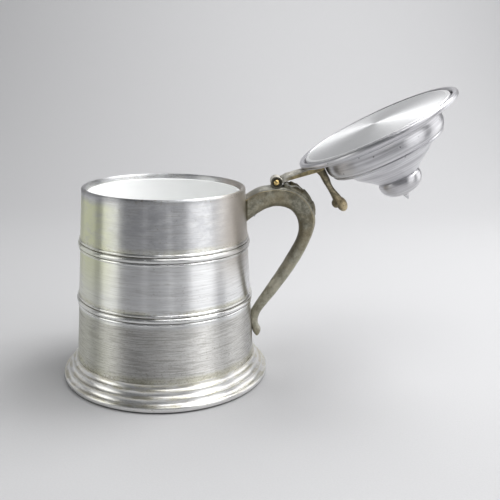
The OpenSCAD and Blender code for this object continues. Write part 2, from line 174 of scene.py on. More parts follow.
def lathe(name, profile, matrix=None, segments=288, closed=True, sharp_angle=32):
    """Turns a profile of (radius, height) about Z. Points on the axis become poles."""
    vertices, rings = [], []
    for r, z in profile:
        if r < 1e-6:
            rings.append([len(vertices)] * segments)
            vertices.append((0, 0, z))
        else:
            start = len(vertices)
            rings.append(list(range(start, start + segments)))
            for k in range(segments):
                a = 2 * math.pi * k / segments
                vertices.append((r * math.cos(a), r * math.sin(a), z))
    pairs = list(zip(rings, rings[1:]))
    if closed:
        pairs.append((rings[-1], rings[0]))
    faces = []
    for low, high in pairs:
        for k in range(segments):
            n = (k + 1) % segments
            quad = []
            for v in (low[k], low[n], high[n], high[k]):
                if v not in quad:
                    quad.append(v)
            if len(quad) > 2:
                faces.append(quad)
    return new_object(name, vertices, faces, matrix, sharp_angle)


def loft(name, rings, sharp_angle=40):
    """Joins rings of equal length into a skin, with both ends closed."""
    count = len(rings[0])
    vertices = [v for ring in rings for v in ring]
    faces = []
    for i in range(len(rings) - 1):
        for k in range(count):
            n = (k + 1) % count
            faces.append((i * count + k, i * count + n, (i + 1) * count + n, (i + 1) * count + k))
    faces.append(list(range(count))[::-1])
    faces.append([(len(rings) - 1) * count + k for k in range(count)])
    return new_object(name, vertices, faces, sharp_angle=sharp_angle)


def slab(name, outline, y0, y1):
    """A closed slab between y0 and y1 from its side view (x, z)."""
    n = len(outline)
    vertices = [(x, y, z) for y in (y0, y1) for x, z in outline]
    faces = [list(range(n)), [n + k for k in range(n)][::-1]]
    faces += [(k, (k + 1) % n, n + (k + 1) % n, n + k) for k in range(n)]
    return new_object(name, vertices, faces)


def cross_cylinder(name, x, z, radius, y0, y1, segments=48):
    """A cylinder across the handle between y0 and y1."""
    turns = [2 * math.pi * k / segments for k in range(segments)]
    return slab(name, [(x + radius * math.cos(a), z + radius * math.sin(a)) for a in turns], y0, y1)


def apply_modifiers(obj):
    """Bakes the modifiers into the object's mesh."""
    bpy.context.view_layer.update()
    graph = bpy.context.evaluated_depsgraph_get()
    mesh = bpy.data.meshes.new_from_object(obj.evaluated_get(graph))
    obj.modifiers.clear()
    obj.data = mesh


def combine(obj, other, operation="UNION"):
    """Adds or cuts another closed mesh, which is then removed."""
    modifier = obj.modifiers.new("combine", "BOOLEAN")
    modifier.operation = operation
    modifier.solver = "EXACT"
    modifier.object = other
    apply_modifiers(obj)
    bpy.data.objects.remove(other)


def points_of(obj):
    """The x, y and z of every vertex, in millimetres."""
    flat = np.empty(len(obj.data.vertices) * 3, np.float32)
    obj.data.vertices.foreach_get("co", flat)
    return flat.reshape(-1, 3).T / MM


def set_values(obj, label, values):
    """Stores one number per vertex for the materials."""
    attribute = obj.data.attributes.new(label, "FLOAT", "POINT")
    attribute.data.foreach_set("value", np.asarray(values, np.float32).ravel())


def soften(obj, voxel, rounds=6):
    """Rounds a piece's edges as in a sand casting: a voxel remesh and a little smoothing."""
    remesh = obj.modifiers.new("remesh", "REMESH")
    remesh.mode = "VOXEL"
    remesh.voxel_size = voxel * MM
    remesh.use_smooth_shade = True
    smooth = obj.modifiers.new("smooth", "CORRECTIVE_SMOOTH")
    smooth.use_only_smooth = True
    smooth.factor = 0.5
    smooth.iterations = rounds
    apply_modifiers(obj)
    obj.data.shade_smooth()


# ---- materials: heights and distances in metres ------------------------------

class Look:
    """A node material built from its Principled shader outwards.

    Patterns follow the piece's own axis: on the lid that is the open lid's tilted axis."""

    def __init__(self, name, on_lid=False, **sockets):
        self.material = bpy.data.materials.new(name)
        self.material.use_nodes = True
        self.tree = self.material.node_tree
        self.shader = self.tree.nodes["Principled BSDF"]
        for socket, value in sockets.items():
            self.shader.inputs[socket.replace("_", " ")].default_value = value
        self.coordinates = self.tree.nodes.new("ShaderNodeTexCoord").outputs["Object"]
        self.on_lid = on_lid
        if on_lid:
            back = OPEN_LID.inverted()
            upright = self.add("Mapping", vector_type="POINT")
            upright.inputs["Location"].default_value = back.to_translation()
            upright.inputs["Rotation"].default_value = back.to_euler()
            self.put(self.coordinates, upright.inputs["Vector"])
            self.coordinates = upright.outputs[0]
        self.normal = None

    def add(self, kind, **settings):
        made = self.tree.nodes.new("ShaderNode" + kind)
        for key, value in settings.items():
            setattr(made, key, value)
        return made

    def put(self, source, target):
        """Sets an input from a socket or a plain value."""
        if isinstance(source, bpy.types.NodeSocket):
            self.tree.links.new(source, target)
        else:
            target.default_value = source

    def drive(self, socket, source):
        self.put(source, self.shader.inputs[socket])

    def axis(self, letter):
        """One coordinate of the piece's own frame, in metres."""
        split = self.add("SeparateXYZ")
        self.put(self.coordinates, split.inputs[0])
        return split.outputs[letter]

    def radius(self):
        """Distance from the piece's own Z axis, in metres."""
        flat = self.add("VectorMath", operation="MULTIPLY")
        self.put(self.coordinates, flat.inputs[0])
        flat.inputs[1].default_value = (1, 1, 0)
        length = self.add("VectorMath", operation="LENGTH")
        self.put(flat.outputs[0], length.inputs[0])
        return length.outputs["Value"]

    def noise(self, scale, detail=3.0, rough=0.55, offset=(0, 0, 0)):
        """Noise whose grain per metre differs along x, y and z."""
        mapping = self.add("Mapping")
        mapping.inputs["Location"].default_value = offset
        mapping.inputs["Scale"].default_value = scale if hasattr(scale, "__len__") else (scale,) * 3
        self.put(self.coordinates, mapping.inputs["Vector"])
        made = self.add("TexNoise")
        made.inputs["Scale"].default_value = 1.0
        made.inputs["Detail"].default_value = detail
        made.inputs["Roughness"].default_value = rough
        self.put(mapping.outputs[0], made.inputs["Vector"])
        return made.outputs[0]

    def math(self, operation, a, b=0.0):
        made = self.add("Math", operation=operation)
        self.put(a, made.inputs[0])
        self.put(b, made.inputs[1])
        return made.outputs[0]

    def times(self, a, b):
        return self.math("MULTIPLY", a, b)

    def most(self, a, b):
        """The larger of two values."""
        return self.math("MAXIMUM", a, b)

    def value(self, label):
        """A value stored on the mesh's points."""
        return self.add("Attribute", attribute_name=label).outputs["Fac"]

    def painted(self):
        """What drives the base colour so far."""
        return self.shader.inputs["Base Color"].links[0].from_socket

    def span(self, value, low, high, to_low=0.0, to_high=1.0):
        """Maps low..high to to_low..to_high along a smooth step."""
        made = self.add("MapRange", interpolation_type="SMOOTHSTEP")
        self.put(value, made.inputs["Value"])
        for key, number in (("From Min", low), ("From Max", high),
                            ("To Min", to_low), ("To Max", to_high)):
            made.inputs[key].default_value = number
        return made.outputs[0]

    def shades(self, value, dark, light):
        """A colour between two, as a noise swings."""
        return self.mix(self.span(value, 0.3, 0.7), dark, light)

    def rough(self, value, low, high):
        """Roughness between two, as a noise swings."""
        self.drive("Roughness", self.span(value, 0.3, 0.7, low, high))

    def band(self, value, centre, half, soft):
        """1 inside centre +- half, falling to 0 over soft."""
        away = self.math("ABSOLUTE", self.math("SUBTRACT", value, centre))
        return self.span(away, half, half + soft, 1.0, 0.0)

    def mix(self, factor, a, b):
        made = self.add("Mix", data_type="RGBA")
        self.put(factor, made.inputs[0])
        for source, target in ((a, made.inputs[6]), (b, made.inputs[7])):
            self.put(source if isinstance(source, bpy.types.NodeSocket) else (*source, 1.0), target)
        return made.outputs[2]

    def bump(self, height, distance):
        """Adds relief of that height in metres on top of any before it."""
        made = self.add("Bump")
        made.inputs["Distance"].default_value = distance
        self.put(height, made.inputs["Height"])
        if self.normal is not None:
            self.put(self.normal, made.inputs["Normal"])
        self.normal = made.outputs[0]
        self.drive("Normal", self.normal)

    def turned(self, amount):
        """Stretches highlights across the lathe lines, which run round the Z axis."""
        self.shader.inputs["Anisotropic"].default_value = amount
        around = self.add("VectorMath", operation="CROSS_PRODUCT")
        around.inputs[0].default_value = (0, 0, 1)
        self.put(self.coordinates, around.inputs[1])
        direction = around.outputs[0]
        if self.on_lid:
            tilt = self.add("Mapping", vector_type="VECTOR")
            tilt.inputs["Rotation"].default_value = OPEN_LID.to_euler()
            self.put(direction, tilt.inputs["Vector"])
            direction = tilt.outputs[0]
        to_world = self.add("VectorTransform", vector_type="VECTOR", convert_from="OBJECT",
                            convert_to="WORLD")
        self.put(direction, to_world.inputs[0])
        across = self.add("VectorMath", operation="CROSS_PRODUCT")
        self.put(to_world.outputs[0], across.inputs[0])
        self.put(self.add("NewGeometry").outputs["Normal"], across.inputs[1])
        self.drive("Tangent", across.outputs[0])


def body_aluminium():
    """The spun wall: lathe lines, far coarser below the lower band, duller above the upper band, old
    stains by the bands, painted shade in the grooves between the beads, and painted reflections:
    yellow-green on the left, warm beside the handle.
    """
    look = Look("SpunAluminium", Metallic=1.0)
    look.turned(0.98)
    z = look.axis("Z")
    fine = look.noise((40, 40, 1800), 4, 0.65)
    medium = look.noise((18, 18, 700), 3, 0.6, (3, 1, 2))
    coarse = look.noise((40, 40, 980), 4, 0.75, (1, 5, 4))
    speck = look.noise((420, 420, 700), 3, 0.7, (6, 1, 3))
    low_part = look.span(z, 0.0765, 0.0800, 1.0, 0.0)
    high_part = look.span(z, 0.1490, 0.1560)
    cloud = look.noise((26, 26, 60), 5, 0.7, (9, 2, 7))
    blotch = look.noise((70, 70, 160), 4, 0.7, (2, 8, 1))

    clean = look.shades(medium, (0.74, 0.745, 0.75), (0.90, 0.905, 0.91))
    dull = look.shades(blotch, (0.52, 0.525, 0.545), (0.72, 0.725, 0.735))
    clean = look.mix(look.times(high_part, 0.9), clean, dull)
    worn = look.mix(look.span(coarse, 0.38, 0.62), (0.56, 0.55, 0.525), (0.98, 0.975, 0.96))
    worn = look.mix(look.times(look.span(speck, 0.52, 0.66), 0.40), worn, (0.50, 0.475, 0.41))
    colour = look.mix(look.times(low_part, 0.95), clean, worn)
    scratch = look.times(look.span(coarse, 0.50, 0.64), look.span(blotch, 0.34, 0.60, 0.35, 1.0))
    colour = look.mix(look.times(scratch, 0.5), colour, (0.42, 0.41, 0.385))
    dots = look.times(look.span(speck, 0.60, 0.68), look.span(cloud, 0.5, 0.6))
    colour = look.mix(look.times(dots, 0.6), colour, (0.34, 0.32, 0.28))
    upper_edge = look.band(z, 0.1485, 0.0012, 0.0065)
    lower_edge = look.band(z, 0.0910, 0.0010, 0.0050)
    foot_edge = look.band(z, 0.0245, 0.0010, 0.0070)
    near_band = look.most(upper_edge, look.most(lower_edge, foot_edge))
    stain = look.times(near_band, look.span(cloud, 0.38, 0.60))
    colour = look.mix(look.times(stain, 0.5), colour, (0.66, 0.64, 0.46))
    # Painted reflection: the left side, where its highlight falls, is tinted yellow-green, most
    # strongly in the upper part.
    left = look.span(look.axis("X"), -0.070, -0.025, 1.0, 0.0)
    left = look.times(left, look.span(z, 0.1880, 0.1970, 1.0, 0.0))
    uneven_tone_and_painted_reflection = look.times(look.times(left, look.span(z, 0.085, 0.15, 0.25, 1.0)),
                      look.span(cloud, 0.30, 0.52, 0.55, 1.0))
    colour = look.mix(uneven_tone_and_painted_reflection, colour, (0.81, 0.835, 0.57))
    # Painted reflection: the wall beside the handle is painted lighter and warm, like the handle's
    # tan reflection; it is also made rougher there below.
    warm = look.times(look.span(look.axis("X"), 0.045, 0.072), look.span(z, 0.10, 0.16))
    colour = look.mix(look.times(warm, 0.8), colour, (0.84, 0.775, 0.70))
    rim_part = look.times(look.span(z, 0.1950, 0.1965), look.span(cloud, 0.42, 0.60))
    grime = look.times(look.most(near_band, rim_part), look.span(speck, 0.50, 0.60))
    colour = look.mix(look.times(grime, 0.38), colour, (0.33, 0.29, 0.20))
    lower_middle, upper_middle = ((low + BAND_H / 2) * MM for low in (LOWER_BAND_H, UPPER_BAND_H))
    bands = look.most(look.band(z, lower_middle, 0.0056, 0.0006),
                      look.band(z, upper_middle, 0.0056, 0.0006))
    colour = look.mix(look.times(bands, 0.55), colour, (0.84, 0.845, 0.845))
    # Painted shade: thin dark brown lines in the grooves between the beads.
    for low in (LOWER_BAND_H, UPPER_BAND_H):
        for groove_h in (low + SMALL_BEAD[0], low + BAND_H - SMALL_BEAD[0]):
            line = look.times(look.band(z, groove_h * MM, 0.00012, 0.0003),
                              look.span(cloud, 0.34, 0.56, 0.45, 0.9))
            colour = look.mix(line, colour, (0.16, 0.13, 0.08))
    look.drive("Base Color", colour)

    rough = look.math("ADD", look.span(medium, 0.3, 0.7, 0.31, 0.38), look.times(low_part, 0.19))
    rough = look.math("SUBTRACT", rough, look.times(bands, 0.07))
    dulled = look.most(look.times(warm, 0.30), look.times(look.span(z, 0.1955, 0.1965), 0.14))
    look.drive("Roughness", look.math("ADD", rough, dulled))
    plain = look.span(bands, 0, 1, 1.0, 0.04)
    ribbed = look.times(look.span(low_part, 0, 1, 0.22, 1.0), plain)
    look.bump(look.times(fine, plain), 0.00003)
    look.bump(look.times(coarse, ribbed), 0.00012)
    look.bump(look.times(speck, ribbed), 0.00006)
    return look


def foot_aluminium():
    """The turned foot: bright edges, residue below each step and a painted contact shadow along its
    bottom edge on the table.
    """
    look = Look("FootAluminium", Metallic=1.0)
    look.turned(0.75)
    z = look.axis("Z")
    fine = look.noise((40, 40, 1500), 4, 0.65)
    medium = look.noise((22, 22, 700), 4, 0.7, (5, 1, 2))
    cloud = look.noise((55, 55, 200), 5, 0.7, (4, 4, 1))
    speck = look.noise((480, 480, 700), 3, 0.7, (1, 7, 5))
    colour = look.shades(medium, (0.76, 0.757, 0.745), (0.95, 0.947, 0.937))
    grime = None
    for step_h in (0.0225, 0.0187, 0.0129, 0.0073):
        here = look.band(z, step_h, 0.0003, 0.0022)
        grime = here if grime is None else look.most(grime, here)
    grime = look.times(grime, look.span(cloud, 0.36, 0.60))
    colour = look.mix(look.times(grime, 0.6), colour, (0.60, 0.56, 0.40))
    dots = look.times(look.span(speck, 0.54, 0.66), look.span(cloud, 0.40, 0.62))
    colour = look.mix(look.times(dots, 0.4), colour, (0.36, 0.32, 0.22))
    # Painted shadow: the bottom few millimetres go near black, standing in for the contact shadow on
    # the table.
    underside = look.span(z, 0.0008, 0.0026, 0.9, 0.0)
    colour = look.mix(underside, colour, (0.07, 0.07, 0.065))
    look.drive("Base Color", colour)
    look.rough(medium, 0.28, 0.38)
    look.bump(fine, 0.00004)
    look.bump(medium, 0.00005)
    look.bump(speck, 0.00004)
    return look


def lid_aluminium():
    """The lid's outside: fine turned lines and a few dark pits."""
    look = Look("LidAluminium", on_lid=True, Metallic=1.0)
    look.turned(0.6)
    fine = look.noise((26, 26, 1500), 4, 0.6)
    medium = look.noise((12, 12, 520), 3, 0.6, (3, 6, 2))
    cloud = look.noise((30, 30, 60), 3, 0.6, (2, 2, 2))
    pits = look.add("TexVoronoi", feature="F1")
    pits.inputs["Scale"].default_value = 110.0
    look.put(look.coordinates, pits.inputs["Vector"])
    pick = look.times(look.span(pits.outputs["Distance"], 0.06, 0.11, 1.0, 0.0),
                      look.span(look.noise(26, 1, 0.5, (7, 1, 3)), 0.48, 0.52))
    colour = look.shades(medium, (0.47, 0.465, 0.485), (0.70, 0.70, 0.72))
    colour = look.mix(look.times(look.span(cloud, 0.5, 0.75), 0.22), colour, (0.55, 0.53, 0.50))
    colour = look.mix(look.times(pick, 0.8), colour, (0.10, 0.10, 0.10))
    look.drive("Base Color", colour)
    look.rough(medium, 0.32, 0.39)
    look.bump(fine, 0.000015)
    look.bump(medium, 0.00002)
    look.bump(look.times(pick, -1.0), 0.0002)
    return look


def plate_aluminium():
    """The turned disc under the lid: fine rings that spread highlights, and a painted highlight on a
    smoother ring near its border.
    """
    look = Look("PlateAluminium", on_lid=True, Metallic=1.0)
    look.turned(0.55)
    ring = look.radius()
    grain = look.add("CombineXYZ")
    look.put(look.times(ring, 1400), grain.inputs[0])
    rings = look.add("TexNoise", noise_dimensions="3D")
    rings.inputs["Scale"].default_value = 1.0
    rings.inputs["Detail"].default_value = 3.0
    look.put(grain.outputs[0], rings.inputs["Vector"])
    cloud = look.noise((18, 18, 18), 4, 0.6)
    colour = look.shades(rings.outputs[0], (0.70, 0.705, 0.71), (0.79, 0.795, 0.80))
    colour = look.mix(look.times(look.span(cloud, 0.5, 0.8), 0.2), colour, (0.58, 0.58, 0.56))
    # Painted highlight: a ring near the edge is painted much lighter; it is also smoother.
    painted_highlight_border = look.band(ring, (PLATE_R - 2.4) * MM, 0.0014, 0.0004)
    colour = look.mix(painted_highlight_border, colour, (0.96, 0.965, 0.96))
    look.drive("Base Color", colour)
    rough = look.span(cloud, 0.3, 0.7, 0.50, 0.58)
    look.drive("Roughness", look.math("SUBTRACT", rough, look.times(painted_highlight_border, 0.16)))
    look.bump(rings.outputs[0], 0.00002)
    return look


def cast_pewter(name, dark, light, warm, warm_share, shadow=(0.05, 0.045, 0.03)):
    """Grey-brown cast metal: mottled, slightly rough, and with painted shade where its "hollow"
    value is high.
    """
    look = Look(name, Metallic=0.85)
    mottle = look.noise(190, 5, 0.68)
    patch = look.noise(42, 3, 0.6, (5, 2, 8))
    speck = look.noise(620, 3, 0.7, (2, 4, 6))
    colour = look.mix(look.span(mottle, 0.34, 0.66), dark, light)
    colour = look.mix(look.times(look.span(patch, 0.42, 0.66), warm_share), colour, warm)
    colour = look.mix(look.times(look.span(speck, 0.50, 0.68), 0.35), colour,
                      tuple(0.45 * c for c in dark))
    # Painted shade: darkened towards the shadow colour where the "hollow" value is high.
    colour = look.mix(look.times(look.value("hollow"), 0.85), colour, shadow)
    look.drive("Base Color", colour)
    look.rough(mottle, 0.42, 0.56)
    look.bump(mottle, 0.00035)
    look.bump(speck, 0.00010)
    return look


def handle_pewter():
    """The handle's casting: a painted tan highlight along its upper edges, a painted lighter top,
    and painted light in paler patches towards its tail.
    """
    look = cast_pewter("HandlePewter", (0.20, 0.19, 0.145), (0.46, 0.445, 0.36),
                       (0.36, 0.30, 0.18), 0.5, (0.08, 0.07, 0.04))
    patch = look.noise(120, 3, 0.6, (1, 9, 3))
    # Painted highlight: tan along the upper edges.
    painted_edge_highlight = look.times(look.value("painted_edge_highlight"), look.span(patch, 0.30, 0.55))
    # Painted light: the lower part, towards the tail, is paler in patches.
    lower = look.times(look.span(look.axis("Z"), 0.09, 0.165, 1.0, 0.0),
                       look.span(look.noise(90, 4, 0.65, (8, 2, 5)), 0.34, 0.62, 0.12, 0.62))
    colour = look.mix(lower, look.painted(), (0.64, 0.61, 0.49))
    # Painted light: the top, marked "crown", is lighter grey.
    colour = look.mix(look.times(look.value("crown"), 0.7), colour, (0.40, 0.40, 0.38))
    colour = look.mix(look.times(painted_edge_highlight, 0.7), colour, (0.46, 0.38, 0.23))
    look.drive("Base Color", colour)
    return look


def strap_pewter():
    """The strap's casting: light beige-grey on its crown, gold-brown along its sides, darker there
    partly as painted shade.
    """
    look = cast_pewter("StrapPewter", (0.44, 0.42, 0.36), (0.74, 0.72, 0.66),
                       (0.55, 0.50, 0.38), 0.5)
    patch = look.noise(150, 4, 0.6, (3, 3, 9))
    gold = look.mix(look.span(patch, 0.35, 0.65), (0.20, 0.16, 0.07), (0.50, 0.41, 0.21))
    # Partly painted shade: the sides, away from the crown, are gold-brown and darker than the crown.
    colour = look.mix(look.times(look.value("flank_tone_and_painted_shade"), 0.9), look.painted(), gold)
    look.drive("Base Color", colour)
    return look


def pin_brass():
    """Worn brass."""
    look = Look("PinBrass", Metallic=1.0)
    grain = look.noise(700, 3, 0.6)
    colour = look.shades(grain, (0.66, 0.46, 0.16), (0.86, 0.68, 0.34))
    look.drive("Base Color", colour)
    look.rough(grain, 0.20, 0.32)
    look.bump(grain, 0.00003)
    return look


def liner_plastic():
    """Glossy white plastic, faintly uneven as moulded parts are."""
    look = Look("LinerPlastic", IOR=1.49)
    uneven_tone_and_painted_reflection = look.noise(30, 3, 0.5)
    colour = look.shades(uneven_tone_and_painted_reflection, (0.96, 0.97, 0.965), (0.975, 0.98, 0.975))
    look.drive("Base Color", colour)
    look.rough(uneven_tone_and_painted_reflection, 0.14, 0.22)
    look.bump(uneven_tone_and_painted_reflection, 0.0003)
    return look


def foam_look():
    """White bead foam."""
    look = Look("Foam", Roughness=0.9)
    cells = look.add("TexVoronoi", feature="DISTANCE_TO_EDGE")
    cells.inputs["Scale"].default_value = 320.0
    look.put(look.coordinates, cells.inputs["Vector"])
    rim = look.span(cells.outputs["Distance"], 0.0, 0.12)
    look.drive("Base Color", look.mix(rim, (0.78, 0.78, 0.76), (0.90, 0.90, 0.89)))
    look.bump(rim, 0.0004)
    return look


def plated_steel():
    """Dull zinc plating."""
    look = Look("PlatedSteel", Metallic=1.0)
    bloom = look.noise(420, 4, 0.6)
    colour = look.shades(bloom, (0.46, 0.47, 0.49), (0.62, 0.63, 0.64))
    look.drive("Base Color", colour)
    look.rough(bloom, 0.30, 0.45)
    look.bump(bloom, 0.00005)
    return look


def floor_paper():
    """Pale matte paper."""
    look = Look("FloorPaper", Roughness=0.75)
    fibre = look.noise(600, 3, 0.6)
    colour = look.shades(fibre, (0.525, 0.525, 0.533), (0.545, 0.545, 0.553))
    look.drive("Base Color", colour)
    look.bump(fibre, 0.0001)
    return look


def paint(obj, look):
    obj.data.materials.clear()
    obj.data.materials.append(look.material)


# ---- body -------------------------------------------------------------------

def bead(z, size):
    """A half-round bead of height and stand-off size on the wall."""
    height, stand = size
    r = (height * height / 4 + stand * stand) / (2 * stand)
    zc = z + height / 2
    half = math.degrees(math.asin(min(1.0, height / 2 / r)))
    if stand > r:
        half = 180 - half
    return arc((wall_r(zc) + stand - r, zc), r, -half, half, 14)


def triple_band(z):
    """A large bead between two small ones, rising from height z."""
    out = bead(z, SMALL_BEAD)
    out += bead(z + SMALL_BEAD[0], LARGE_BEAD)
    out += bead(z + SMALL_BEAD[0] + LARGE_BEAD[0], SMALL_BEAD)
    return out


def make_body():
    """The wall's sheet with both bands, the rolled rim and the collar turned down inside it."""
    roll_x = WALL_RIM_R + 0.35 - RIM_ROLL_R
    roll_h = RIM_H - RIM_ROLL_R
    collar_r = roll_x - RIM_ROLL_R
    collar_t = 1.2
    inner_top = roll_h - 2
    profile = [(wall_r(SHELL_BOTTOM_H), SHELL_BOTTOM_H), (wall_r(FOOT_H), FOOT_H),
               (wall_r(50), 50)]
    profile += triple_band(LOWER_BAND_H) + [(wall_r(115), 115)] + triple_band(UPPER_BAND_H)
    profile += [(wall_r(172), 172), (wall_r(194), 194)]
    profile += arc((roll_x, roll_h), RIM_ROLL_R, -18, 180, 26)
    profile += [(collar_r, COLLAR_BOTTOM_H), (collar_r + collar_t, COLLAR_BOTTOM_H),
                (collar_r + collar_t, inner_top), (wall_r(inner_top) - SHEET, inner_top),
                (wall_r(SHELL_BOTTOM_H) - SHEET, SHELL_BOTTOM_H)]
    return lathe("body_wall", profile, segments=360)


def flare(start, end, steps=14):
    """One hollow flare, upright at its start and level at its end."""
    out = []
    for i in range(steps + 1):
        a = math.pi / 2 * i / steps
        out.append((start[0] + (end[0] - start[0]) * (1 - math.cos(a)),
                    start[1] + (end[1] - start[1]) * math.sin(a)))
    return out


def make_foot():
    """Three hollow steps with rounded edges, open underneath."""
    lip = 1.4
    step = 0.9
    edge = 0.35
    tiers = [(FOOT_R - 9.8, FOOT_H - 5.1), (FOOT_R - 5.6, FOOT_H - 10.9), (FOOT_R - 1.5, 7.2)]
    outer = [(wall_r(FOOT_H), FOOT_H)]
    start = (wall_r(FOOT_H) + lip, FOOT_H)
    for tier in tiers:
        run = flare(start, tier)
        outer += run[:-1]
        outer += arc((tier[0] - edge, tier[1] - edge), edge, 90, 0, 5)
        start = (tier[0], tier[1] - step)
    outer += arc((FOOT_R - 2.4, 4.8), 2.4, 60, -10, 10)
    outer += [(FOOT_R - 0.5, 2), (CONTACT_R + 0.6, 0.4), (CONTACT_R, 0)]
    seat = wall_r(SHELL_BOTTOM_H)
    inner = [(CONTACT_R - 4, 0), (CONTACT_R - 5, 3.4), (CONTACT_R - 8, 5.2), (seat - 3, 5.2),
             (seat - 3, 6.6), (seat, 6.6), (seat, SHELL_BOTTOM_H)]
    return lathe("foot_turning", outer + inner, segments=360)


def make_liner():
    """The white cup with its rounded lip and the flange that holds it under the collar."""
    floor_r = LINER_NECK_R - 3.9
    wall = 2.2
    corner = 9
    bottom = LINER_FLOOR_H - wall - 0.3
    flange_low = COLLAR_BOTTOM_H - 2
    flange_r = wall_r(COLLAR_BOTTOM_H) - SHEET - 0.4
    outer = [(0, bottom)] + arc((floor_r - corner, bottom + corner), corner, -90, 0, 10)
    outer += [(LINER_NECK_R - 0.1, flange_low), (flange_r, flange_low),
              (flange_r, COLLAR_BOTTOM_H - 0.05), (LINER_NECK_R, COLLAR_BOTTOM_H - 0.05)]
    lip_r = (LINER_NECK_R - LINER_MOUTH_R) / 2
    outer += arc((LINER_MOUTH_R + lip_r, LINER_TOP_H - lip_r), lip_r, 0, 180, 12)
    inner_r = floor_r - wall
    inner = arc((inner_r - corner + 2, LINER_FLOOR_H + corner - 2), corner - 2, 0, -90, 10)
    return lathe("liner_cup", outer + inner + [(0, LINER_FLOOR_H)], segments=288, closed=False)


# ---- lid --------------------------------------------------------------------

def flange_h(r):
    """Height of the closed lid's flange at radius r."""
    return FLANGE_START[1] + (FLANGE_START[0] - r) * FLANGE_SLOPE


def make_lid_shell():
    fillet_x = LID_WALL_R + FILLET_R
    r = LID_WALL_R
    bead_x = LID_R - LID_BEAD_R
    outer = [FLANGE_START, (76, flange_h(76)), (fillet_x + 1.2, flange_h(fillet_x + 1.2))]
    outer += arc((fillet_x, flange_h(fillet_x) + FILLET_R - 0.2), FILLET_R, -100, -180, 12)
    outer += spline([(r + 0.1, 19), (r - 0.2, 22), (r - 1.1, 25), (r - 2.6, 27.4), (r - 3.8, 28)], 5)
    outer += spline([(r - 3.3, 28.7), (r - 3.8, 30.1), (r - 5.8, 31.4), (54, 32.5), (50, 34.1),
                     (46.4, 35.9), (43.6, 38), (41.8, 40.1), (39.7, 42.4), (36, 45.4),
                     (31, 49.2), (26.6, 53), (23.4, 55.7), (21.2, CROWN_H)], 5)
    inner = [(x, min(z, CROWN_H - SHEET)) for x, z in offset(outer, SHEET)]
    profile = arc((bead_x, LID_BEAD_R), LID_BEAD_R, -180, 80, 30)
    profile += outer + [(0, CROWN_H), (0, CROWN_H - SHEET)] + inner[::-1]
    profile += [(bead_x - LID_BEAD_R + 0.6, 4.6)]
    return lathe("lid_spinning", profile, OPEN_LID, segments=360)


def make_plate():
    """The dished disc that closes the lid from below, with its edge turned up."""
    thick = 1.2
    edge_h = 0.3
    edge_top_h = 2.6
    dip = 2.4
    sphere = (PLATE_R ** 2 + dip ** 2) / (2 * dip)
    half = math.degrees(math.asin(PLATE_R / sphere))
    low = edge_h - dip
    face = arc((0, low + sphere), sphere, -90, -90 + half * 0.985, 40)
    edge = arc((PLATE_R - 1.2, edge_h + 1.15), 1.2, -75, 0, 8)
    back = arc((0, low + sphere), sphere - thick, -90 + half * 0.97, -90, 30)
    profile = [(0, low)] + face[1:] + edge + [(PLATE_R, edge_top_h), (PLATE_R - thick, edge_top_h)]
    profile += back[:-1] + [(0, low + thick)]
    return lathe("lid_plate", profile, OPEN_LID, segments=360, closed=False)


def make_finial():
    """The hollow turned knob."""
    wall = 1.6
    outer = spline([(20.4, CROWN_H + 0.05), (21.5, 57.9), (22.3, 60), (22.5, 62.4), (22.1, 65.4),
                    (21, 68.2), (19.2, 70.7), (16.8, 72.8), (13.4, 74.6), (9.2, 75.9),
                    (4.4, 76.6)], 6)
    inner = [(max(x, 0.1), max(z, CROWN_H + 0.05)) for x, z in offset(outer, wall)]
    profile = outer + [(2.1, 76.75), (2.1, 75.2)] + inner[::-1]
    return lathe("lid_finial", profile, OPEN_LID, segments=192)


def make_tip():
    """The small pointed nut on the knob."""
    base = 76.8
    profile = [(0, base), (3.7, base), (3.9, base + 0.2), (3.7, base + 1.4), (2.3, base + 4.2),
               (0.5, base + 7.3), (0, base + 7.6)]
    return lathe("finial_nut", profile, OPEN_LID, segments=12, closed=False, sharp_angle=20)


# ---- handle -----------------------------------------------------------------

# Spine and underside, matched point by point from the wall to the tail
HANDLE_PAIRS = [
    ((79, 187.5), (79, 158.5)), ((86, 193.6), (86, 164.9)), ((96, 199.2), (94.5, 171.6)),
    ((106, 201.4), (103.2, 177)), ((116, 202.4), (112.4, 179.8)), ((128, 200.8), (121, 179.6)),
    ((138, 196.2), (128.6, 176.8)), ((146.4, 188.8), (133.8, 171.8)),
    ((152.6, 178.5), (137.2, 165.4)), ((155.5, 165.5), (138.6, 157.4)),
    ((153.2, 152.5), (137.8, 149.6)), ((145.6, 133), (134.2, 140)),
    ((133, 110.6), (121.9, 117.5)), ((116.4, 86.4), (106.5, 92.7)),
    ((103.6, 69.6), (94.6, 73.8)), ((99, 61), (89.4, 63)), ((98.2, 52.6), (90.2, 52.6)),
    ((101.2, 44.8), (92.6, 43.4)), ((99.6, 39.4), (96.4, 37.6)),
]


def handle_half_width(z):
    """The handle narrows from its full width at wide_h to its tail's at narrow_h."""
    narrow_h, wide_h = 46, 165
    t = min(1.0, max(0.0, (z - narrow_h) / (wide_h - narrow_h)))
    return (HANDLE_TAIL_W + (HANDLE_W - HANDLE_TAIL_W) * t) / 2


def handle_section(height, half, crown):
    """Half of a section from its underside (0, 0) over the side and the edge to its top."""
    out = []
    belly = 0.46 * height
    for i in range(13):
        a = math.pi / 2 * i / 12
        out.append((half * math.sin(a) ** 0.72, belly * (1 - math.cos(a)), 0.0))
    top = height - crown
    for k in (0.35, 0.7, 0.9):
        out.append((half, belly + (top - belly) * k, 0.0))
    # The third value weights the painted highlight along the upper edge.
    out += [(half, top - 0.25, 1.0), (half - 0.12, top, 1.0), (half - 0.4, top + 0.18, 0.6)]
    for i in range(1, 13):
        a = math.pi / 2 * i / 12
        out.append(((half - 0.45) * math.cos(a), top + 0.2 + (crown - 0.2) * math.sin(a), 0.0))
    return out


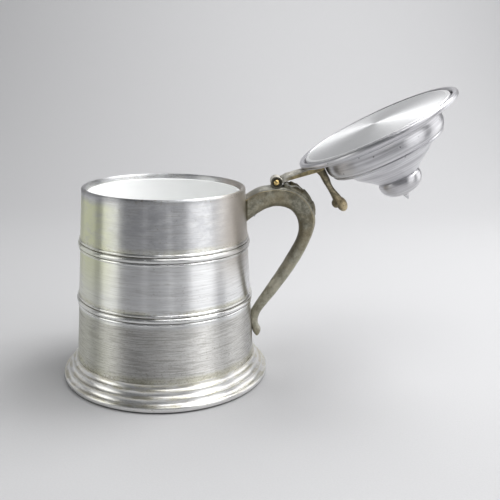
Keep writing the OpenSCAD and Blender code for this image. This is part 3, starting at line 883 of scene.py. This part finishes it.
def make_handle():
    steps = 10
    outer = np.array(spline([p[0] for p in HANDLE_PAIRS], steps))
    inner = np.array(spline([p[1] for p in HANDLE_PAIRS], steps))
    rings, painted_edge_highlight, hollow, crowned = [], [], [], []
    last = len(outer) - 1
    # The first ring is bent to the wall's curve
    root = 7
    for i in range(root, last + 1):
        top, low = outer[i], inner[i]
        t = i / last
        up = top - low
        height = float(np.linalg.norm(up))
        up = up / height
        half = handle_half_width(top[1])
        tip = min(1.0, (last - i) / (steps * 0.9))
        half *= 0.45 + 0.55 * math.sqrt(tip)
        crown = np.interp(t, [0, 0.25, 0.45, 0.6, 1.0], [4.6, 4.4, 3.2, 3.0, 2.2])
        crown = min(crown, height * 0.45)
        # Painted highlight: how strongly the upper edge is painted lighter, along the handle.
        edge_highlight_share = np.interp(t, [0, 0.16, 0.22, 0.28, 0.46, 0.52], [1, 1, 0.3, 0.8, 0.8, 0.1])
        side = handle_section(height, half, crown)
        ring = side[1:-1] + [side[-1]] + [(-y, s, e) for y, s, e in side[1:-1][::-1]] + [side[0]]
        points = []
        for y, s, edge in ring:
            x, z = low + up * s
            at = Vector((x, y, z))
            lump = noise.noise(at * 0.16) * 0.28 + noise.noise(at * 0.5) * 0.1
            fade = min(1.0, (i - root) / 12)
            x, z = x + up[0] * lump * fade * 0.6, z + up[1] * lump * fade * 0.6
            y = y + math.copysign(lump * fade, y) * 0.5 if abs(y) > 0.5 else y
            if i == root:
                x = math.sqrt((wall_r(z) - 0.1) ** 2 - y * y)
            points.append((x, y, z))
            painted_edge_highlight.append(edge * edge_highlight_share)
            share = s / height
            # Painted shade on the underside and where the handle meets the wall, stored as "hollow".
            below = (np.interp(share, [0, 0.10, 0.34], [1, 0.75, 0])
                     * np.interp(t, [0, 0.1, 0.3, 1], [0.5, 0.6, 0.9, 1.0]))
            hollow.append(max(below, 1.0 if i < root + 2 else 0.0))
            # Painted light: the top of the section is marked "crown" to be painted lighter.
            crowned.append(np.interp(s - (height - crown), [0, 0.5], [0, 1])
                           * np.interp(t, [0, 0.2, 0.27, 1], [0.9, 0.9, 0.35, 0.3]))
        rings.append(points)
    obj = loft("handle_casting", rings, sharp_angle=50)
    for label, values in (("painted_edge_highlight", painted_edge_highlight), ("hollow", hollow), ("crown", crowned)):
        set_values(obj, label, values)
    for y0, y1 in ((-12, -CENTRE_KNUCKLE_W / 2), (CENTRE_KNUCKLE_W / 2, 12)):
        cutter = cross_cylinder("cutter", HINGE_X, RIM_H + HINGE_RISE, NOTCH_R, y0, y1)
        combine(obj, cutter, "DIFFERENCE")
    return obj


def make_knuckle():
    """The handle's centre knuckle on its short neck."""
    x, z = HINGE_X, RIM_H + HINGE_RISE
    w = CENTRE_KNUCKLE_W
    neck_side = [(x - 7, z - 6.6), (x + 7, z - 6.6), (x + 4.2, z), (x - 4.2, z)]
    neck = slab("knuckle_neck", neck_side, -w / 2, w / 2)
    barrel = cross_cylinder("hinge_knuckle", x, z, KNUCKLE_R, -w / 2, w / 2)
    combine(barrel, neck)
    bore = cross_cylinder("bore", x, z, PIN_R, -w, w)
    combine(barrel, bore, "DIFFERENCE")
    bevel = barrel.modifiers.new("bevel", "BEVEL")
    bevel.width = 0.35 * MM
    bevel.segments = 2
    bevel.limit_method = "ANGLE"
    bevel.angle_limit = math.radians(50)
    apply_modifiers(barrel)
    finish_mesh(barrel, 45)
    return barrel


def tube(name, line, radius, sides=8):
    """A round rod along a line of points."""
    rings = []
    for i, point in enumerate(line):
        here = Vector(point)
        ahead = (Vector(line[min(i + 1, len(line) - 1)]) - Vector(line[max(i - 1, 0)])).normalized()
        side = ahead.cross(Vector((0, 1, 0))).normalized()
        up = side.cross(ahead)
        rings.append([tuple(here + (side * math.cos(2 * math.pi * k / sides)
                                    + up * math.sin(2 * math.pi * k / sides)) * radius)
                      for k in range(sides)])
    return loft(name, rings)


def make_leaf():
    """The leaf on the handle's shoulder: a ribbed blade with lobed edges and a rolled head."""
    spine = spline([(121.3, 201.9), (128, 200.8), (138, 196.2), (146.4, 188.8), (152.6, 178.5),
                    (154.9, 170.6)], 16)
    ridge = spline([(121.6, 203.6), (128.6, 206.1), (140.6, 199.8), (149.4, 191.3), (155.3, 179.6),
                    (155.7, 171.2)], 16)
    across = 37
    lobes = 4.0
    rows, blade = len(spine), []
    for i in range(rows):
        t = i / (rows - 1)
        base, top = np.array(spine[i]), np.array(ridge[i])
        rise = top - base
        height = float(np.linalg.norm(rise))
        rise = rise / height
        wave = (t * lobes + 0.2) % 1.0
        height *= 1 - 0.24 * wave * min(1.0, t * 5)
        half = np.interp(t, [0, 0.08, 0.3, 0.55, 0.8, 1.0], [7.2, 8.5, 8.7, 8.2, 5.8, 1.0])
        half *= 1 - 0.10 * wave
        crown = np.interp(t, [0, 1], [4.0, 3.1])
        ring = []
        for k in range(across):
            v = -1 + 2 * k / (across - 1)
            y = half * v
            body = max(0.0, 1 - abs(v) ** 2.6)
            vein = abs((t * 2 * lobes - abs(v) * 1.1) % 1.0 - 0.5)
            groove = 0.16 * max(0.0, 1 - vein / 0.2) * min(1.0, abs(v) * 4) * (0.3 + 0.7 * body)
            rib = 0.14 * math.exp(-(v / 0.09) ** 2)
            seat = crown * (1 - math.sqrt(max(0.0, 1 - (y / (HANDLE_W / 2)) ** 2)))
            s = height * (0.26 + 0.6 * body - groove + rib) - seat
            ring.append((base[0] + rise[0] * s, y, base[1] + rise[1] * s))
        for v in (0.9, 0.0, -0.9):
            s = -1.0 - crown * (1 - math.sqrt(1 - v * v)) if v else -1.0
            ring.append((base[0] + rise[0] * s, half * v, base[1] + rise[1] * s))
        blade.append(ring)
    obj = loft("handle_leaf", blade, sharp_angle=60)
    combine(obj, cross_cylinder("scroll", 124.0, 203.2, 2.3, -8.0, 8.0, 32))
    curl = spline([(121.6, 206.4), (123.6, 205.8), (126.4, 203.8), (128.8, 202.7), (132.4, 203.0),
                   (135.8, 202.4), (138.6, 199.9)], 5)
    for side in (-1, 1):
        combine(obj, tube("curl", [(x, side * 7.9, z - 0.9) for x, z in curl[4:]], 0.75))
    soften(obj, 0.33, 2)
    x, y, z = points_of(obj)
    line = np.array(curl)
    near = np.min(np.hypot(x[:, None] - line[:, 0], z[:, None] - line[:, 1] + 0.9), axis=1)
    on_curl = np.interp(near, [0.7, 1.3], [1, 0]) * (np.abs(y) > 6.8)
    # Painted light on the curl through "crown"; painted shade through "hollow" over the blade, less
    # towards its edges.
    set_values(obj, "crown", on_curl)
    set_values(obj, "hollow", 0.55 * np.interp(np.abs(y), [6.0, 8.0], [1, 0.45]) * (1 - on_curl))
    return obj


# ---- hinge ------------------------------------------------------------------

def make_pin():
    """Brass pin with domed ends, along Y."""
    head = 1.8
    dome = 2 * head
    reach = STRAP_W / 2 - EYE_DEPTH + 0.2
    half = arc((0, reach - head), dome, 30, 90, 10)
    rim = half[0][0]
    profile = [(0, -half[-1][1])] + [(r, -y) for r, y in half[::-1][1:]]
    profile += [(rim, -reach + 0.05), (PIN_R, -reach + 0.02), (PIN_R, reach - 0.02),
                (rim, reach - 0.05)] + half[:-1] + [(0, half[-1][1])]
    turn = Matrix.Translation((HINGE_X * MM, 0, (RIM_H + HINGE_RISE) * MM)) \
        @ Matrix.Rotation(math.radians(-90), 4, "X")
    return lathe("hinge_pin_brass", profile, turn, segments=64, closed=False)


def make_strap():
    """The cast bar from the pin to the lid: crowned on its outer side, flat on the other."""
    seat = 0.06
    fillet_x = LID_WALL_R + FILLET_R
    end_x = LID_WALL_R + 1.6
    lower = [(end_x, 11), (LID_WALL_R + 2.8, 10.2), (LID_WALL_R + 4.1, 9.75),
             (fillet_x + 1.2, flange_h(fillet_x + 1.2) + seat), (90.5, flange_h(90.5) + seat),
             (96.5, 3.1), (101.2, 2), (HINGE_X - 8, 2), (HINGE_X - 5, 2.2),
             (HINGE_X - 3.2, HINGE_RISE - 4.4)]
    upper = spline([(end_x, 15.6), (72, 15), (86, 12.3), (96, 10.3), (103, 9),
                    (HINGE_X - 6, 8.6), (HINGE_X - 2, HINGE_RISE + 4)], 4)
    crowns = [(67, 0.2), (78, 1.9), (94, 3.7), (108, 3.9)]
    half = STRAP_W / 2
    bevel = 0.5
    rings = []
    for x in np.linspace(end_x, HINGE_X - 3.2, 60):
        low, high, crown = (float(height_at(line, x)) for line in (lower, upper, crowns))
        ring = [(x, half - bevel, high), (x, half, high - bevel)]
        for k in range(25):
            a = math.pi * k / 24
            ring.append((x, half * math.cos(a), low + crown * (1 - math.sin(a) ** 0.8)))
        ring += [(x, -half, high - bevel), (x, -half + bevel, high)]
        rings.append(ring)
    bar = loft("hinge_strap_casting", rings)
    combine(bar, cross_cylinder("barrel", HINGE_X, HINGE_RISE, KNUCKLE_R, -half, half))
    gap = CENTRE_KNUCKLE_W / 2 + 0.3
    slot = [(HINGE_X - NOTCH_R, -5), (HINGE_X + NOTCH_R, -5),
            (HINGE_X + NOTCH_R, 15), (HINGE_X - NOTCH_R, 15)]
    combine(bar, slab("slot", slot, -gap, gap), "DIFFERENCE")
    for side in (-1, 1):
        y0, y1 = sorted((side * (half - EYE_DEPTH), side * (half + 1)))
        combine(bar, cross_cylinder("eye", HINGE_X, HINGE_RISE, EYE_R, y0, y1), "DIFFERENCE")
    combine(bar, cross_cylinder("bore", HINGE_X, HINGE_RISE, PIN_R + 0.25, -12, 12), "DIFFERENCE")
    soften(bar, 0.3, 3)
    x, y, z = points_of(bar)
    away = np.hypot(x - HINGE_X, z - HINGE_RISE)
    on_end = (away < KNUCKLE_R - 0.1) & (np.abs(y) > CENTRE_KNUCKLE_W / 2 + 2)
    # Painted shade on the knuckles' end faces, darkest in the eyes round the pin heads.
    set_values(bar, "hollow", np.where(on_end, np.where(away < EYE_R, 1.1, 0.95), 0.0))
    # The sides, away from the crown, are marked for the gold-brown that is partly painted shade.
    above = z - height_at(lower, x) - height_at(crowns, x)
    set_values(bar, "flank_tone_and_painted_shade", np.interp(above, [-0.5, 0.5], [0, 1]) * np.interp(x, [98, 106], [1, 0]))
    bar.data.transform(OPEN_LID)
    return bar


def make_thumbpiece():
    """A stem with two rounded lobes at its end, standing on the strap."""
    front = spline([(63.8, 14.6), (63.75, 24), (63.75, 28), (64.4, 33), (64, 38.5), (62, 46),
                    (60.4, 53)], 6)
    back = spline([(74.0, 14.3), (71.8, 20), (71.5, 25), (71.2, 29), (70.4, 37), (70.1, 43),
                   (70.2, 53)], 6)
    widths = spline([(13, 7.0), (19, 6.2), (28, 5.2), (36, 4.3), (44, 4.6), (51, 5.6), (54, 6.4)], 6)
    rings = []
    for f, b in zip(front, back):
        half = float(height_at(widths, (f[1] + b[1]) / 2))
        ring = []
        for k in range(36):
            a = 2 * math.pi * k / 36
            c, s = math.cos(a), math.sin(a)
            c = math.copysign(abs(c) ** 0.75, c)
            s = math.copysign(abs(s) ** 0.75, s)
            x = (f[0] + b[0]) / 2 + (b[0] - f[0]) / 2 * c
            z = f[1] + (b[1] - f[1]) * (0.5 + 0.5 * c)
            ring.append((x, half * s, z))
        rings.append(ring)
    stem = loft("thumbpiece_casting", rings)
    lobes = [((63.9, 0, 57.3), (5.5, 7.4, 8.1)), ((69.3, 0, 54.0), (4.0, 6.4, 4.7))]
    for index, (centre, size) in enumerate(lobes):
        ball = bmesh.new()
        bmesh.ops.create_uvsphere(ball, u_segments=32, v_segments=20, radius=1.0)
        mesh = bpy.data.meshes.new(f"lobe{index}")
        ball.to_mesh(mesh)
        ball.free()
        mesh.transform(Matrix.Diagonal((*[s * MM for s in size], 1.0)))
        mesh.transform(Matrix.Translation([c * MM for c in centre]))
        combine(stem, place(f"lobe{index}", mesh))
    soften(stem, 0.34, 5)
    x, y, z = points_of(stem)
    away = np.hypot(x - 62.8, z - 60.6)
    ridge = np.cos(2 * math.pi * away / 2.3) * np.interp(away, [0, 3.4, 4.6], [1, 1, 0])
    lift = 0.16 * ridge * np.minimum(1.0, np.abs(y) / 5.0)
    for vertex, rise in zip(stem.data.vertices, lift):
        vertex.co += vertex.normal * float(rise) * MM
    # Painted shade through "hollow": along the back of the stem and lobes, on the front of the stem
    # below the lobes, and fading up from its foot on the strap.
    middle = np.interp(z, [14, 30, 50, 60], [69.5, 68.5, 66.8, 66.4])
    behind = np.interp(x - middle, [-1.2, 1.4], [0, 0.8])
    ahead = np.interp(x - middle, [-3.0, -1.4], [0.75, 0.0]) * np.interp(z, [46, 53], [1, 0])
    base = np.interp(z, [18, 40], [0.85, 0.0])
    set_values(stem, "hollow", np.maximum(np.maximum(behind, ahead), base))
    stem.data.transform(OPEN_LID)
    return stem


# ---- putting the object together --------------------------------------------

BODY, LID = "tankard", "lid"
cast_handle = handle_pewter()
cast_strap = strap_pewter()
cast_thumb = cast_pewter("ThumbPewter", (0.20, 0.175, 0.12), (0.72, 0.63, 0.43),
                         (0.60, 0.48, 0.28), 0.6)
turned_lid = lid_aluminium()

shown = [
    (make_body(), BODY, "body_shell", "spun_aluminium", body_aluminium()),
    (make_foot(), BODY, "foot_ring", "spun_aluminium", foot_aluminium()),
    (make_liner(), BODY, "liner", "liner_white", liner_plastic()),
    (make_handle(), BODY, "handle", "cast_pewter", cast_handle),
    (make_knuckle(), BODY, None, "cast_pewter", cast_strap),
    (make_leaf(), BODY, None, "cast_pewter", cast_handle),
    (make_pin(), BODY, "hinge_pin", "pin_brass", pin_brass()),
    (make_strap(), LID, "hinge_strap", "cast_pewter", cast_strap),
    (make_thumbpiece(), LID, "thumbpiece", "cast_pewter", cast_thumb),
    (make_lid_shell(), LID, "lid_shell", "turned_aluminium", turned_lid),
    (make_plate(), LID, "lid_inner_plate", "turned_aluminium", plate_aluminium()),
    (make_finial(), LID, "finial", "turned_aluminium", turned_lid),
    (make_tip(), LID, "finial_tip", "turned_aluminium", turned_lid),
]
for piece, body, stands_for, slot, look in shown:
    paint(piece, look)
    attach(piece, body)
    if stands_for:
        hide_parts(stands_for)

steel, foam = plated_steel(), foam_look()
base_look = foot_aluminium()
for name, node in nodes.items():
    if node.hide_render:
        continue
    if "insulation" in name:
        paint(node, foam)
    elif name == "base_plate":
        paint(node, base_look)
    else:
        paint(node, steel)


# ---- floor, light and camera ------------------------------------------------

def make_sweep():
    """A pale floor that curves up into a backdrop."""
    width, front, back, bend, height = 6.0, -3.0, 1.6, 0.8, 3.2
    line = [(front, 0.0), (back - bend, 0.0)]
    for i in range(1, 13):
        a = math.pi / 2 * i / 12
        line.append((back - bend + bend * math.sin(a), bend - bend * math.cos(a)))
    line.append((back, height))
    vertices = [(x, y, z) for y, z in line for x in (-width / 2, width / 2)]
    faces = [(2 * i, 2 * i + 1, 2 * i + 3, 2 * i + 2) for i in range(len(line) - 1)]
    mesh = bpy.data.meshes.new("sweep")
    mesh.from_pydata(vertices, [], faces)
    mesh.shade_smooth()
    obj = place("sweep", mesh)
    paint(obj, floor_paper())


CAMERA_AT = Vector((0.0628, -0.6960, 0.3172))
HEADING, PITCH, ROLL = 2.10, 14.84, 1.02
SENSOR_WIDTH, LENS = 36, 49.54


def make_camera():
    """The camera looks along +Y, turned to +X by the heading, down by the pitch, then rolled."""
    heading, pitch, roll = (math.radians(a) for a in (HEADING, PITCH, ROLL))
    forward = Vector((math.sin(heading) * math.cos(pitch), math.cos(heading) * math.cos(pitch),
                      -math.sin(pitch)))
    level = Vector((math.cos(heading), -math.sin(heading), 0))
    above = level.cross(forward)
    right = level * math.cos(roll) + above * math.sin(roll)
    up = above * math.cos(roll) - level * math.sin(roll)
    data = bpy.data.cameras.new("camera")
    data.sensor_width = SENSOR_WIDTH
    data.lens = LENS
    data.clip_start = 0.01
    data.clip_end = 20
    camera = place("camera", data)
    turn = Matrix((right, up, -forward)).transposed().to_4x4()
    camera.matrix_world = Matrix.Translation(CAMERA_AT) @ turn
    bpy.context.scene.camera = camera


def softbox(name, azimuth, distance, height, size, power, tint=(1, 1, 1), aim=(0, 0, 0.1)):
    """An area light round the object; azimuth 0 is on the camera's side, 90 on +X."""
    a = math.radians(azimuth)
    at = Vector((math.sin(a) * distance, -math.cos(a) * distance, height))
    data = bpy.data.lights.new(name, "AREA")
    data.shape = "RECTANGLE"
    data.size, data.size_y = size
    data.energy = power
    data.color = tint
    light = place(name, data)
    light.location = at
    light.rotation_euler = (Vector(aim) - at).to_track_quat("-Z", "Y").to_euler()


def make_lights():
    softbox("key_right", 53, 1.15, 0.56, (0.75, 0.95), 3.4)
    softbox("fill_left", -70, 1.10, 0.50, (0.55, 0.85), 2.5, (1.0, 1.0, 0.96))
    softbox("strip_left", -21, 1.7, 0.6, (0.03, 0.9), 0.20)
    softbox("strip_right", 11, 1.7, 0.6, (0.03, 0.9), 0.32)
    softbox("side_right", 104, 1.4, 0.5, (0.9, 1.0), 4.0)
    softbox("overhead", 110, 0.8, 1.5, (0.9, 0.9), 16.0)
    softbox("side_left", -115, 1.4, 0.5, (0.9, 1.0), 1.4)
    softbox("high_right", 78, 0.9, 1.4, (1.2, 1.2), 9)
    softbox("high_front", 20, 0.5, 1.5, (0.7, 0.6), 4.0)
    softbox("wall_wash", 150, 0.9, 1.5, (1.6, 0.5), 9, aim=(0.42, 1.6, 0.35))
    world = bpy.data.worlds.new("room")
    world.use_nodes = True
    ground = world.node_tree.nodes["Background"]
    ground.inputs["Color"].default_value = (0.92, 0.94, 1.0, 1.0)
    ground.inputs["Strength"].default_value = 0.12
    bpy.context.scene.world = world


make_sweep()
make_camera()
make_lights()
bpy.context.scene.view_settings.view_transform = "Standard"
bpy.context.scene.view_settings.look = "None"
